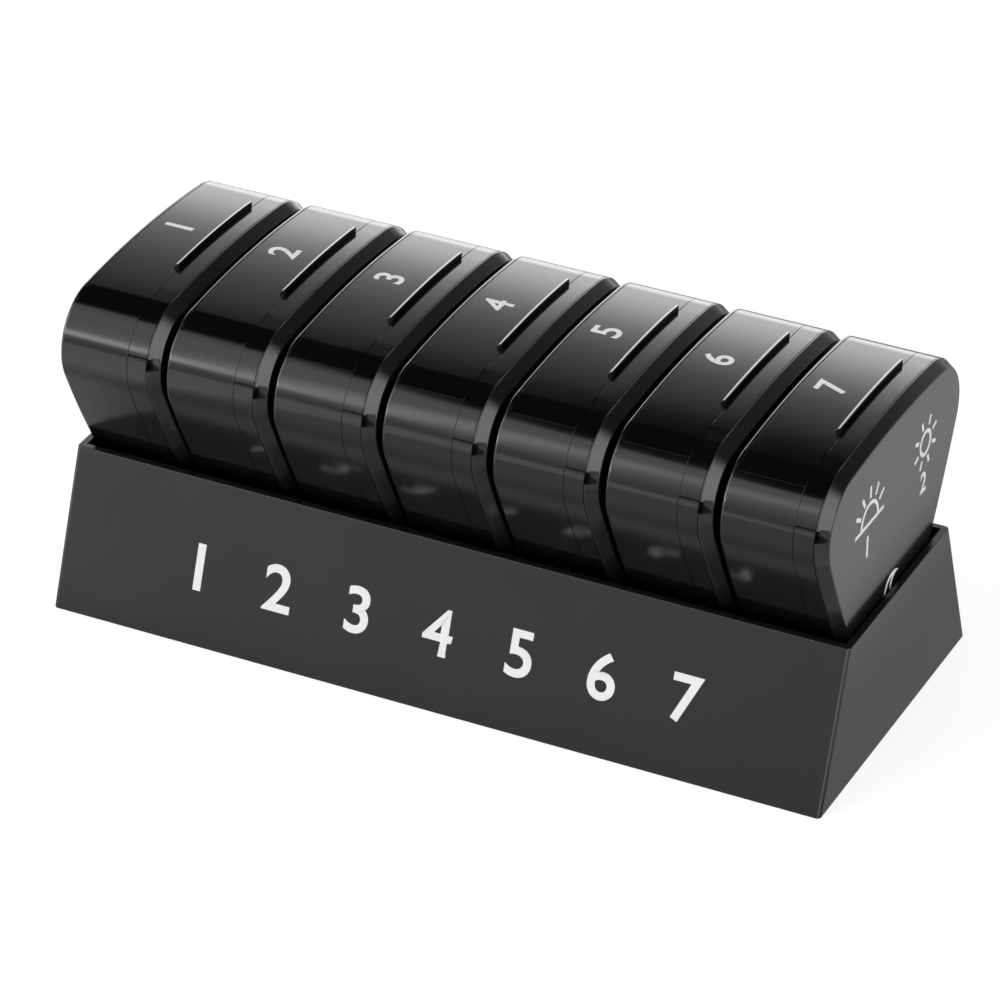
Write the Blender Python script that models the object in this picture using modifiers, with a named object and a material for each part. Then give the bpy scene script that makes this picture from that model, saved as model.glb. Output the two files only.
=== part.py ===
# Seven-day pill organizer: seven rounded-triangle boxes that lift out of a long tray.
# Each box has an outer case, a hinged lid with a finger lip, a tub with three wells, and an end cap.
# Frame: X along the row of boxes, day 1 at -X; Y from front to back; Z up; origin under the middle of the tray.

import math

import bmesh
import bpy
from mathutils import Vector

mm = 0.001
days = 7

# Running sizes
seam = 0.3 * mm                       # gap between two pieces that meet
overrun = 12.0 * mm                   # how far a cutter runs past what it cuts
merge_distance = 0.001 * mm

# Box section, a rounded triangle with slightly bulging sides
corner_radius = 13.6 * mm
corner_half_spread = 25.3 * mm        # half the distance between two corner centres
side_bulge = 1.3 * mm

# Box along X
box_width = 25.5 * mm
box_gap = 2.0 * mm
flange_width = 4.6 * mm
cap_width = 2.9 * mm
skin = 1.6 * mm
end_wall = 1.2 * mm
case_edge = 0.4 * mm                  # small round on the case's left edge

# Lid, lip and hinge
lid_front_angle = math.radians(33.0)  # where the lid ends on the front corner, from straight up
hinge_angle = math.radians(40.0)      # where the barrel sits on the back corner, from straight up
lid_opening = math.radians(105.0)
barrel_radius = 2.2 * mm
pin_radius = 0.9 * mm
pin_grip = 2.4 * mm                   # how deep the pin sits in the tub's flange
lip_length = 35.0 * mm
lip_offset = 4.0 * mm                 # how far behind the box's middle the lip's middle lies
lip_height = 2.0 * mm
lip_crest = 0.9 * mm
lip_ramp = 2.2 * mm
lip_root = 0.8 * mm                   # how far the lip reaches into the lid

# Tub and its three wells
well_wall = 1.2 * mm
middle_well_half = 7.6 * mm
mouth_front = 28.4 * mm               # how far the wells' mouths reach forward of the middle
mouth_back = 25.8 * mm                # and behind it
mouth_depth = 5.0 * mm

# End cap
cap_fillet = 2.6 * mm
cap_face = 1.4 * mm
notch_height = 2.8 * mm
notch_rise = 3.2 * mm                 # how far its middle lies above the corner's centre
notch_depth = 2.0 * mm
notch_side = 0.5 * mm                 # what is left of the cap outside the notch

# Tray
tray_wall = 1.8 * mm
tray_height = 37.0 * mm
tray_flare = 14.0 * mm                # how far each long wall leans out from rim to foot
tray_end_gap = 0.7 * mm
tray_rim_gap = 1.3 * mm
tray_edge = 0.7 * mm

# Cradle
floor_thickness = 2.0 * mm
trough_lift = 5.1 * mm                # free height between the floor and the trough
trough_wall = 1.8 * mm
trough_span = math.radians(114.0)     # how much of the section the trough wraps
rib_spread = math.radians(86.0)       # between the two long ribs that carry the trough
rib_thickness = 1.8 * mm
fin_rise = 1.5 * mm                   # how far a fin stands above the trough beside it
fin_margin = math.radians(1.5)        # how far short of the trough's edges a fin ends

# Fineness of the round outlines
corner_steps = 6
side_steps = 3
barrel_steps = 10
pin_sides = 10
fillet_segments = 2

# Section geometry that follows from the sizes
quarter = math.pi / 2.0
third = math.tau / 3.0
apothem = corner_half_spread / math.sqrt(3.0)
spread_radius = 2.0 * apothem
side_offset = (corner_half_spread ** 2 - side_bulge ** 2) / (2.0 * side_bulge)
side_centre_reach = side_offset - apothem
side_radius = corner_radius + math.hypot(corner_half_spread, side_offset)
side_half_angle = math.atan2(corner_half_spread, side_offset)
box_top = apothem + corner_radius + side_bulge
box_bottom = spread_radius + corner_radius
box_half_depth = corner_half_spread + corner_radius

# Places that follow from the sizes
box_pitch = box_width + box_gap
cap_left = box_width - cap_width
flange_right = cap_left - seam
flange_left = flange_right - flange_width
case_width = flange_left - seam
insert_left = end_wall + seam
well_left = insert_left + well_wall
insert_inset = skin + seam
well_inset = insert_inset + well_wall
barrel_room = barrel_radius + seam
pin_hole = pin_radius + seam
section_height = floor_thickness + trough_lift + trough_wall + seam + box_bottom
row_half = (days * box_width + (days - 1) * box_gap) / 2.0
tray_half_length = row_half + tray_end_gap + tray_wall
tray_wall_level = tray_wall * math.hypot(tray_flare, tray_height) / tray_height


# The outline's point whose outward normal has this angle, counted from +Y towards +Z
def section_point(angle, inset=0.0):
    side_direction = quarter + round((angle - quarter) / third) * third
    off = angle - side_direction
    if abs(off) <= side_half_angle:
        toward, reach, radius = side_direction, -side_centre_reach, side_radius
    else:
        toward, reach, radius = side_direction + math.copysign(third / 2.0, off), spread_radius, corner_radius
    centre = Vector((math.cos(toward), math.sin(toward))) * reach
    return centre + Vector((math.cos(angle), math.sin(angle))) * (radius - inset)


# Angles from start to end, with one at every change between a corner and a side
def section_angles(start, end):
    changes = []
    for turn in range(-2, 5):
        middle = quarter + turn * third
        changes += [middle - side_half_angle, middle + side_half_angle]
    stops = [start] + [c for c in changes if start < c < end] + [end]
    angles = []
    for a, b in zip(stops, stops[1:]):
        off = (a + b) / 2.0 - quarter
        on_side = abs(off - round(off / third) * third) < side_half_angle
        whole = 2.0 * side_half_angle if on_side else third - 2.0 * side_half_angle
        steps = max(1, math.ceil((side_steps if on_side else corner_steps) * (b - a) / whole))
        angles += [a + (b - a) * i / steps for i in range(steps)]
    return angles + [end]


def section_run(start, end, inset=0.0):
    return [section_point(a, inset) for a in section_angles(start, end)]


def whole_section(inset=0.0):
    return section_run(quarter, quarter + math.tau, inset)[:-1]


def arc(centre, radius, start, end, steps):
    angles = [start + (end - start) * i / steps for i in range(steps + 1)]
    return [centre + Vector((math.cos(a), math.sin(a))) * radius for a in angles]


def direction(vector):
    return math.atan2(vector.y, vector.x)


# Where a circle about one centre meets a circle about another, on the chosen side of the line between them
def crossing(centre, radius, other, other_radius, side):
    between = other - centre
    along = (between.length_squared + radius ** 2 - other_radius ** 2) / (2.0 * between.length)
    across = math.sqrt(radius ** 2 - along ** 2)
    forward = between.normalized()
    return centre + forward * along + Vector((-forward.y, forward.x)) * across * side


# Half the section's depth at a height below its widest place
def section_half_depth(height):
    toward = quarter + third
    centre = Vector((math.cos(toward), math.sin(toward))) * -side_centre_reach
    return math.sqrt(side_radius ** 2 - (height - centre.y) ** 2) - centre.x


tray_top_half = section_half_depth(tray_height - section_height) + tray_rim_gap + tray_wall_level
tray_base_half = tray_top_half + tray_flare
back_corner = Vector((corner_half_spread, apothem))
hinge_axis = section_point(quarter - hinge_angle, barrel_radius)


# Half the width inside the tray's long walls, at a height above the table
def tray_inner_half(height):
    return tray_base_half - tray_flare * height / tray_height - tray_wall_level


def clear_scene():
    for obj in list(bpy.data.objects):
        bpy.data.objects.remove(obj, do_unlink=True)


def new_collection(name):
    collection = bpy.data.collections.new(name)
    bpy.context.scene.collection.children.link(collection)
    return collection


def plastic(name, colour, roughness):
    material = bpy.data.materials.new(name)
    material.use_nodes = True
    shader = material.node_tree.nodes["Principled BSDF"]
    shader.inputs["Base Color"].default_value = (*colour, 1.0)
    shader.inputs["Roughness"].default_value = roughness
    shader.inputs["Metallic"].default_value = 0.0
    return material


def evaluated_mesh(obj):
    bpy.context.view_layer.update()
    return bpy.data.meshes.new_from_object(obj.evaluated_get(bpy.context.evaluated_depsgraph_get()))


def edit_mesh(mesh, action):
    work = bmesh.new()
    work.from_mesh(mesh)
    action(work)
    work.to_mesh(mesh)
    work.free()


def weld(work):
    bmesh.ops.remove_doubles(work, verts=work.verts, dist=merge_distance)
    bmesh.ops.recalc_face_normals(work, faces=work.faces)


# A filled outline in the YZ plane, drawn as a 2D curve and extruded along X from left to right
def prism(name, loops, left, right, collection):
    curve = bpy.data.curves.new(name, "CURVE")
    curve.dimensions = "2D"
    curve.fill_mode = "BOTH"
    curve.extrude = (right - left) / 2.0
    for loop in loops:
        spline = curve.splines.new("POLY")
        spline.points.add(len(loop) - 1)
        for point, place in zip(spline.points, loop):
            point.co = (place.x, place.y, 0.0, 1.0)
        spline.use_cyclic_u = True
    outline = bpy.data.objects.new(name + "_outline", curve)
    collection.objects.link(outline)
    mesh = evaluated_mesh(outline)
    bpy.data.objects.remove(outline, do_unlink=True)
    bpy.data.curves.remove(curve)
    middle = (left + right) / 2.0
    for vertex in mesh.vertices:
        across, up, along = vertex.co
        vertex.co = (middle + along, across, up)
    edit_mesh(mesh, weld)
    solid = bpy.data.objects.new(name, mesh)
    collection.objects.link(solid)
    return solid


# A block between two corners, from a unit cube; its half widths across Y may differ at foot and top
def block(name, low, high, collection, top_half=None):
    bpy.ops.mesh.primitive_cube_add(size=1.0)
    solid = bpy.context.object
    solid.name = name
    for vertex in solid.data.vertices:
        share = [c + 0.5 for c in vertex.co]
        place = [a + (b - a) * s for a, b, s in zip(low, high, share)]
        if top_half is not None and vertex.co.z > 0.0:
            place[1] = math.copysign(top_half, vertex.co.y)
        vertex.co = place
    for old in list(solid.users_collection):
        old.objects.unlink(solid)
    collection.objects.link(solid)
    return solid


# A disc about a point of the section, as a prism
def rod(name, centre, radius, left, right, sides, collection):
    return prism(name, [arc(centre, radius, 0.0, math.tau, sides)[:-1]], left, right, collection)


def combine(solid, other, operation):
    modifier = solid.modifiers.new(operation.lower() + " " + other.name, "BOOLEAN")
    modifier.operation = operation
    modifier.object = other
    modifier.solver = "EXACT"
    other.hide_render = True
    other.display_type = "WIRE"


def cut(solid, *cutters):
    for cutter in cutters:
        combine(solid, cutter, "DIFFERENCE")


def join(solid, *others):
    for other in others:
        combine(solid, other, "UNION")


# Rounds the edges that lie in the plane at this X
def round_rim(solid, x, width, segments):
    def bevel(work):
        rim = [e for e in work.edges if all(abs(v.co.x - x) < merge_distance for v in e.verts)]
        outer = [e for e in rim if any(abs(f.normal.x) < 0.5 for f in e.link_faces)]
        bmesh.ops.bevel(work, geom=outer, offset=width, segments=segments, profile=0.5, affect="EDGES",
                        clamp_overlap=True)
    edit_mesh(solid.data, bevel)


# The line that the fully opened lid's outer face lies along: where it leaves the case's inside, and its direction
def opened_lid_line():
    turned = quarter - hinge_angle - lid_opening
    foot = hinge_axis + Vector((math.cos(turned), math.sin(turned))) * barrel_room - back_corner
    outward = Vector((-math.sin(turned), math.cos(turned)))
    along = foot.dot(outward)
    reach = -along + math.sqrt(along ** 2 + (corner_radius - skin) ** 2 - foot.length_squared)
    return back_corner + foot + outward * reach, outward


# The case: a skin round the section, closed on the left, open on the right and under the lid
def make_case(cutters):
    case = prism("case", [whole_section()], 0.0, case_width, cutters)
    round_rim(case, 0.0, case_edge, 1)
    lid_end = quarter + lid_front_angle + seam / corner_radius
    back_end, outward = opened_lid_line()
    room = [section_point(lid_end, -overrun)]
    room += section_run(lid_end, direction(back_end - back_corner) + math.tau, skin)
    room += [back_end + outward * overrun, Vector((box_half_depth + overrun, box_top + overrun))]
    room += [Vector((-box_half_depth, box_top + overrun))]
    cut(case, prism("case_room", [room], end_wall, case_width + overrun, cutters),
        rod("case_pin_hole", hinge_axis, pin_hole, -overrun, end_wall + overrun, pin_sides, cutters))
    return case


# The lid: a curved panel between the end wall and the flange, with a barrel at its back end and a lip at its right
def make_lid(cutters):
    front = quarter + lid_front_angle
    back = quarter - hinge_angle
    meet = crossing(back_corner, corner_radius - skin, hinge_axis, barrel_radius, 1.0)
    outline = section_run(back, front)
    outline += section_run(direction(meet - back_corner), front, skin)[::-1]
    outline += arc(hinge_axis, barrel_radius, direction(meet - hinge_axis), back + math.tau, barrel_steps)[1:-1]
    hole = arc(hinge_axis, pin_hole, 0.0, math.tau, pin_sides)[:-1]
    lid = prism("lid", [outline, hole], insert_left, case_width, cutters)
    join(lid, make_lip(cutters))
    return lid


# The lip: a wedge profile swung along the lid's curve, about the curve's own centre
def make_lip(cutters):
    half_angle = lip_length / 2.0 / side_radius
    start = half_angle + lip_offset / side_radius
    centre = Vector((0.0, 0.0, -side_centre_reach))
    profile = [(0.0, lip_height), (-lip_crest, lip_height), (-lip_crest - lip_ramp, 0.0),
               (-lip_crest - lip_ramp, -lip_root), (0.0, -lip_root)]
    turn_to_start = math.sin(start), math.cos(start)

    def swing(work):
        corners = []
        for x, height in profile:
            reach = side_radius + height
            place = centre + Vector((case_width + x, reach * turn_to_start[0], reach * turn_to_start[1]))
            corners.append(work.verts.new(place))
        face = work.faces.new(corners)
        bmesh.ops.spin(work, geom=[face, *face.edges, *face.verts], cent=centre, axis=(1.0, 0.0, 0.0),
                       angle=2.0 * half_angle, steps=side_steps, use_duplicate=False)
        weld(work)

    mesh = bpy.data.meshes.new("lip")
    edit_mesh(mesh, swing)
    lip = bpy.data.objects.new("lip", mesh)
    cutters.objects.link(lip)
    return lip


# The walls between the wells, as two slabs that the wells' cutters are cut by
def make_dividers(cutters):
    slabs = []
    for name, side in (("divider_front", -1.0), ("divider_back", 1.0)):
        edges = sorted((side * middle_well_half, side * (middle_well_half + well_wall)))
        slabs.append(block(name, (-overrun, edges[0], -box_bottom - overrun),
                           (box_width + overrun, edges[1], box_top + 2.0 * overrun), cutters))
    return slabs


# The tub: an insert inside the case and a flange of the full section, with three wells open to the top and right
def make_tub(cutters):
    tub = prism("tub", [whole_section(insert_inset)], insert_left, flange_left + flange_width / 2.0, cutters)
    flange = prism("tub_flange", [whole_section()], flange_left, flange_right, cutters)
    barrel = rod("barrel_room", hinge_axis, barrel_room, insert_left - overrun, flange_left, barrel_steps, cutters)
    cut(tub, barrel)
    join(tub, flange)
    wells = prism("wells", [whole_section(well_inset)], well_left, flange_right + overrun, cutters)
    barrel_wall = rod("barrel_wall", hinge_axis, barrel_room + well_wall, -overrun, flange_right + 2.0 * overrun,
                      barrel_steps, cutters)
    mouth_floor = section_point(quarter, well_inset).y - mouth_depth
    mouths = block("mouths", (well_left, -mouth_front, mouth_floor), (case_width, mouth_back, box_top + overrun),
                   cutters)
    join(wells, mouths)
    cut(wells, barrel_wall, *make_dividers(cutters))
    pin_room = rod("tub_pin_hole", hinge_axis, pin_hole, flange_left - overrun, flange_left + pin_grip, pin_sides,
                   cutters)
    cut(tub, wells, pin_room)
    return tub


# The end cap: a plate of the full section with a soft outer edge, hollow towards the tub, notched front and back
def make_end_cap(cutters):
    cap = prism("end_cap", [whole_section()], cap_left, box_width, cutters)
    round_rim(cap, box_width, cap_fillet, fillet_segments)
    cut(cap, prism("cap_room", [whole_section(well_inset)], cap_left - overrun, box_width - cap_face, cutters))
    low = apothem + notch_rise - notch_height / 2.0
    high = low + notch_height
    for name, side in (("notch_front", -1.0), ("notch_back", 1.0)):
        ends = sorted((side * (box_half_depth - notch_depth), side * (box_half_depth + overrun)))
        cut(cap, block(name, (cap_left - overrun, ends[0], low), (box_width - notch_side, ends[1], high), cutters))
    return cap


def make_hinge_pin(cutters):
    return rod("hinge_pin", hinge_axis, pin_radius, seam, flange_left + pin_grip - seam, pin_sides, cutters)


# The tray's outer shell: four walls, the long ones leaning in towards the rim, open above and below
def make_tray_shell(parts, cutters):
    shell = block("tray_shell", (-tray_half_length, -tray_base_half, 0.0),
                  (tray_half_length, tray_base_half, tray_height), parts, tray_top_half)
    bevel = shell.modifiers.new("soft edges", "BEVEL")
    bevel.width = tray_edge
    bevel.segments = 1
    inner_half_length = tray_half_length - tray_wall
    inner_foot = tray_inner_half(-overrun)
    inside = block("tray_inside", (-inner_half_length, -inner_foot, -overrun),
                   (inner_half_length, inner_foot, tray_height + overrun), cutters,
                   tray_inner_half(tray_height + overrun))
    cut(shell, inside)
    return shell


# A stretch of the section about its lowest point, raised to where the boxes sit in the tray
def lower_run(span, inset):
    start = 3.0 * quarter - span / 2.0
    return [p + Vector((0.0, section_height)) for p in section_run(start, start + span, inset)]


# The cradle: a floor, a trough on two long ribs under the boxes' lower corners, and a fin between every two boxes
def make_cradle(parts, cutters):
    half_length = tray_half_length - tray_wall - seam
    floor_half = tray_inner_half(0.0) - seam
    cradle = block("cradle", (-half_length, -floor_half, 0.0), (half_length, floor_half, floor_thickness), parts,
                   tray_inner_half(floor_thickness) - seam)
    middle_inset = -seam - trough_wall / 2.0
    for name, seat in (("rib_front", lower_run(rib_spread, middle_inset)[0]),
                       ("rib_back", lower_run(rib_spread, middle_inset)[-1])):
        join(cradle, block(name, (-half_length, seat.x - rib_thickness / 2.0, floor_thickness / 2.0),
                           (half_length, seat.x + rib_thickness / 2.0, seat.y), cutters))
    trough = lower_run(trough_span, -seam - trough_wall) + lower_run(trough_span, -seam)[::-1]
    join(cradle, prism("trough", [trough], -half_length, half_length, cutters))
    root = lower_run(trough_span - 2.0 * fin_margin, middle_inset)
    rise = Vector((0.0, fin_rise))
    fin_half = box_gap / 2.0 - seam
    for gap in range(1, days):
        x = -row_half + gap * box_pitch - box_gap / 2.0
        join(cradle, prism(f"fin_{gap}", [root + [root[-1] + rise, root[0] + rise]], x - fin_half, x + fin_half,
                           cutters))
    return cradle


def smooth_round_faces(mesh):
    mesh.shade_smooth()
    mesh.set_sharp_from_angle(angle=math.radians(35.0))


# One node: an evaluated solid's mesh, its origin moved to the given point of the section
def place(name, mesh, material, holder, origin, parts):
    node = bpy.data.objects.new(name, mesh)
    node.location = origin
    node.parent = holder
    if not mesh.materials:
        mesh.materials.append(material)
    parts.objects.link(node)
    return node


# Seven boxes; each piece's mesh is made once and shared
def make_boxes(parts, cutters, gloss, satin, steel):
    hinge_origin = Vector((0.0, hinge_axis.x, hinge_axis.y))
    middle = Vector((0.0, 0.0, 0.0))
    kinds = [
        ("case", make_case, gloss, middle),
        ("lid", make_lid, gloss, hinge_origin),
        ("hinge_pin", make_hinge_pin, steel, hinge_origin),
        ("tub", make_tub, gloss, middle),
        ("end_cap", make_end_cap, satin, middle),
    ]
    for kind, make, material, origin in kinds:
        mesh = evaluated_mesh(make(cutters))
        mesh.name = kind
        for vertex in mesh.vertices:
            vertex.co -= origin
        smooth_round_faces(mesh)
        for day in range(days):
            place(f"day_{day + 1}_{kind}", mesh, material, day_holder(day, parts), origin, parts)
    for helper in list(cutters.objects):
        bpy.data.objects.remove(helper, do_unlink=True)


# The empty that a day's pieces hang on, at the middle of its section on the left face
def day_holder(day, parts):
    name = f"day_{day + 1}"
    if name in bpy.data.objects:
        return bpy.data.objects[name]
    holder = bpy.data.objects.new(name, None)
    holder.location = (-row_half + day * box_pitch, 0.0, section_height)
    parts.objects.link(holder)
    return holder


def main():
    clear_scene()
    parts = new_collection("pill_organizer")
    cutters = new_collection("cutters")
    gloss = plastic("gloss black plastic", (0.005, 0.005, 0.006), 0.08)
    satin = plastic("satin black plastic", (0.014, 0.014, 0.015), 0.35)
    steel = plastic("steel pin", (0.55, 0.55, 0.56), 0.3)
    steel.node_tree.nodes["Principled BSDF"].inputs["Metallic"].default_value = 1.0
    make_boxes(parts, cutters, gloss, satin, steel)
    for piece in (make_tray_shell(parts, cutters), make_cradle(parts, cutters)):
        piece.data.materials.append(satin)
    bpy.context.view_layer.update()


main()
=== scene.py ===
import itertools
import math

import bmesh
import bpy
from mathutils import Matrix, Vector


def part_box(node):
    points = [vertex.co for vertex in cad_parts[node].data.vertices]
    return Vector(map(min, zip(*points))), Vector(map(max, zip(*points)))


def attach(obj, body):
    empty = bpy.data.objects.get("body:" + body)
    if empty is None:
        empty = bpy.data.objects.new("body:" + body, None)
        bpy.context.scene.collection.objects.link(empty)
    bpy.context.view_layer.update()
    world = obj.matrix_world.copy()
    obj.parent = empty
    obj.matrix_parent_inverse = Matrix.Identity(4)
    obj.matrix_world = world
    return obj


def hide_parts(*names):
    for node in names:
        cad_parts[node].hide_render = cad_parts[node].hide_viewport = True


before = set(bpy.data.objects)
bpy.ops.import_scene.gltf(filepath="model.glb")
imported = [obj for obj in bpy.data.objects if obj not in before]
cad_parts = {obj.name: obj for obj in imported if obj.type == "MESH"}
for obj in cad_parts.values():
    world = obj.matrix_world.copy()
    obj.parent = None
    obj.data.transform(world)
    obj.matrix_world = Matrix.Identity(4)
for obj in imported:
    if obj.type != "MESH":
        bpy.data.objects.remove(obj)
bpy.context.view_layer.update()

mm = 0.001
quarter = math.pi / 2.0
third = math.tau / 3.0
days = 7

boxSection = {
    "cornerRadius": 13.6 * mm,
    "cornerHalfSpread": 25.3 * mm,     # half the distance between two corner centres
    "sideBulge": 1.3 * mm,
    "cornerSteps": 26,
    "sideSteps": 12,
}
boxAlong = {                           # from a box's left face, along the row
    "width": 25.5 * mm,
    "caseWidth": 17.4 * mm,
    "flangeWidth": 4.6 * mm,
    "seam": 0.3 * mm,
    "fineSeam": 0.12 * mm,             # what shows of a seam between two pieces that stay together
    "skin": 1.6 * mm,
    "endWall": 1.2 * mm,
}
softEdge = {
    "width": 0.1 * mm,
    "lidWidth": 0.06 * mm,
    "segments": 2,
    "limit": math.radians(38.0),
    "flat": math.radians(0.4),         # faces that turn less than this are made one
    "sharp": math.radians(50.0),       # an edge that turns more than this stays sharp in the shading
    "flatWeight": 90,
    "depth": 0.015 * mm,               # how far inside the section's curve a facet may lie
}
overrun = 12.0 * mm
weldDistance = 0.002 * mm
mergeDistance = 0.008 * mm
rodSides = 48

cornerRadius = boxSection["cornerRadius"]
halfSpread = boxSection["cornerHalfSpread"]
boxWidth = boxAlong["width"]
endWall = boxAlong["endWall"]
skin = boxAlong["skin"]
apothem = halfSpread / math.sqrt(3.0)
spreadRadius = 2.0 * apothem
sideOffset = (halfSpread ** 2 - boxSection["sideBulge"] ** 2) / (2.0 * boxSection["sideBulge"])
sideCentreReach = sideOffset - apothem
sideRadius = cornerRadius + math.hypot(halfSpread, sideOffset)
sideHalfAngle = math.atan2(halfSpread, sideOffset)
boxTop = apothem + cornerRadius + boxSection["sideBulge"]
boxBottom = spreadRadius + cornerRadius
boxHalfDepth = halfSpread + cornerRadius
seam = boxAlong["seam"]
fineSeam = boxAlong["fineSeam"]
closer = (seam - fineSeam) / 2.0       # how far each piece moves into its seam
caseRight = boxAlong["caseWidth"] + closer
flangeLeft = caseRight + fineSeam
flangeRight = flangeLeft + boxAlong["flangeWidth"] + 2.0 * closer
capLeft = flangeRight + fineSeam
insertLeft = endWall + seam
insertInset = skin + seam


# The outline's point whose outward normal has this angle, counted from +Y towards +Z
def sectionPoint(angle, inset=0.0):
    sideDirection = quarter + round((angle - quarter) / third) * third
    off = angle - sideDirection
    if abs(off) <= sideHalfAngle:
        toward, reach, radius = sideDirection, -sideCentreReach, sideRadius
    else:
        toward = sideDirection + math.copysign(third / 2.0, off)
        reach, radius = spreadRadius, cornerRadius
    centre = Vector((math.cos(toward), math.sin(toward))) * reach
    return centre + Vector((math.cos(angle), math.sin(angle))) * (radius - inset)


# Angles from start to end, with one wherever a corner meets a side
def sectionAngles(start, end):
    changes = []
    for turn in range(-2, 5):
        middle = quarter + turn * third
        changes += [middle - sideHalfAngle, middle + sideHalfAngle]
    stops = [start] + [c for c in changes if start < c < end] + [end]
    angles = []
    for a, b in zip(stops, stops[1:]):
        off = (a + b) / 2.0 - quarter
        onSide = abs(off - round(off / third) * third) < sideHalfAngle
        whole = 2.0 * sideHalfAngle if onSide else third - 2.0 * sideHalfAngle
        wanted = boxSection["sideSteps"] if onSide else boxSection["cornerSteps"]
        steps = max(1, math.ceil(wanted * (b - a) / whole))
        angles += [a + (b - a) * i / steps for i in range(steps)]
    return angles + [end]


def sectionRun(start, end, inset=0.0):
    return [sectionPoint(a, inset) for a in sectionAngles(start, end)]


def wholeSection(inset=0.0):
    return sectionRun(quarter, quarter + math.tau, inset)[:-1]


def arcRun(centre, radius, start, end, steps):
    angles = [start + (end - start) * i / steps for i in range(steps + 1)]
    return [centre + Vector((math.cos(a), math.sin(a))) * radius for a in angles]


def direction(vector):
    return math.atan2(vector.y, vector.x)


# Where two circles meet, on the chosen side of the line between their centres
def crossing(centre, radius, other, otherRadius, side):
    between = other - centre
    along = (between.length_squared + radius ** 2 - otherRadius ** 2) / (2.0 * between.length)
    across = math.sqrt(radius ** 2 - along ** 2)
    forward = between.normalized()
    return centre + forward * along + Vector((-forward.y, forward.x)) * across * side


# The section's outward normal at a point, and how far in the point lies
def sectionNormal(point):
    for turn in range(3):
        axis = Vector((math.cos(quarter + turn * third), math.sin(quarter + turn * third)))
        away = point + axis * sideCentreReach
        if away.angle(axis) <= sideHalfAngle:
            return away.normalized(), sideRadius - away.length
    corners = [Vector((math.cos(quarter + (turn + 0.5) * third), math.sin(quarter + (turn + 0.5) * third)))
               * spreadRadius for turn in range(3)]
    away = min((point - corner for corner in corners), key=lambda rest: rest.length)
    return away.normalized(), cornerRadius - away.length


backCorner = Vector((halfSpread, apothem))
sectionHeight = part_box("day_1_end_cap")[1].z - boxTop


def boxPlace(day):
    return Vector((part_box(f"day_{day}_case")[0].x, 0.0, sectionHeight))


# Meshes: drawn outlines, booleans, and edges made a little soft
def newPiece(name, mesh):
    piece = bpy.data.objects.new(name, mesh)
    bpy.context.scene.collection.objects.link(piece)
    return piece


def evaluatedMesh(piece):
    bpy.context.view_layer.update()
    return bpy.data.meshes.new_from_object(piece.evaluated_get(bpy.context.evaluated_depsgraph_get()))


def remove(*pieces):
    for piece in pieces:
        bpy.data.objects.remove(piece, do_unlink=True)


def editMesh(mesh, action):
    work = bmesh.new()
    work.from_mesh(mesh)
    action(work)
    work.to_mesh(mesh)
    work.free()


# Orders vertices, edges and faces by their places, because a boolean's own order changes from run to run
def inOrder(work):
    way = Vector((1.0, 1.7, 2.9))
    work.verts.sort(key=lambda vertex: vertex.co.dot(way))
    work.edges.sort(key=lambda edge: (edge.verts[0].co + edge.verts[1].co).dot(way))
    work.faces.sort(key=lambda face: face.calc_center_median().dot(way))


def closeMesh(work):
    bmesh.ops.remove_doubles(work, verts=work.verts, dist=weldDistance)
    bmesh.ops.recalc_face_normals(work, faces=work.faces)


# A new piece whose mesh an action builds
def built(name, action):
    mesh = bpy.data.meshes.new(name)
    editMesh(mesh, action)
    return newPiece(name, mesh)


def curveMesh(curve):
    piece = newPiece(curve.name, curve)
    mesh = evaluatedMesh(piece)
    remove(piece)
    return mesh


# Closed loops, filled and as thick along Z as told
def filled(name, loops, halfThickness):
    curve = bpy.data.curves.new(name, "CURVE")
    curve.dimensions = "2D"
    curve.fill_mode = "BOTH"
    curve.extrude = halfThickness
    for loop in loops:
        spline = curve.splines.new("POLY")
        spline.points.add(len(loop) - 1)
        for point, place in zip(spline.points, loop):
            point.co = (place.x, place.y, 0.0, 1.0)
        spline.use_cyclic_u = True
    return curveMesh(curve)


# Loops of the section's plane as a solid between two places along the row
def prism(name, loops, left, right):
    mesh = filled(name, loops, (right - left) / 2.0)
    middle = (left + right) / 2.0
    for vertex in mesh.vertices:
        across, up, along = vertex.co
        vertex.co = (middle + along, across, up)
    editMesh(mesh, closeMesh)
    return newPiece(name, mesh)


def rod(name, centre, radius, left, right):
    return prism(name, [arcRun(centre, radius, 0.0, math.tau, rodSides)[:-1]], left, right)


# Eight corners; the half width across Y may differ at foot and top
def block(name, low, high, topHalf=None):
    def build(work):
        bmesh.ops.create_cube(work, size=1.0)
        for vertex in work.verts:
            top = vertex.co.z > 0.0
            place = [a + (b - a) * (c + 0.5) for a, b, c in zip(low, high, vertex.co)]
            if topHalf is not None and top:
                place[1] = math.copysign(topHalf, vertex.co.y)
            vertex.co = place
    return built(name, build)


def combine(piece, others, operation):
    for other in others:
        modifier = piece.modifiers.new(operation.lower() + other.name, "BOOLEAN")
        modifier.operation = operation
        modifier.object = other
        modifier.solver = "EXACT"
    mesh = evaluatedMesh(piece)
    editMesh(mesh, inOrder)
    piece.modifiers.clear()
    piece.data = mesh
    remove(*others)
    return piece


def cut(piece, *others):
    return combine(piece, others, "DIFFERENCE")


def join(piece, *others):
    return combine(piece, others, "UNION")


# Merges what a boolean split
def mergeFaces(work):
    bmesh.ops.remove_doubles(work, verts=work.verts, dist=mergeDistance)
    bmesh.ops.dissolve_limit(work, angle_limit=softEdge["flat"], verts=work.verts, edges=work.edges)
    bmesh.ops.recalc_face_normals(work, faces=work.faces)


# Whether an edge lies on the section's outer surface
def onSection(edge):
    return all(abs(sectionNormal(Vector((v.co.y, v.co.z)))[1]) < mergeDistance for v in edge.verts)


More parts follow.
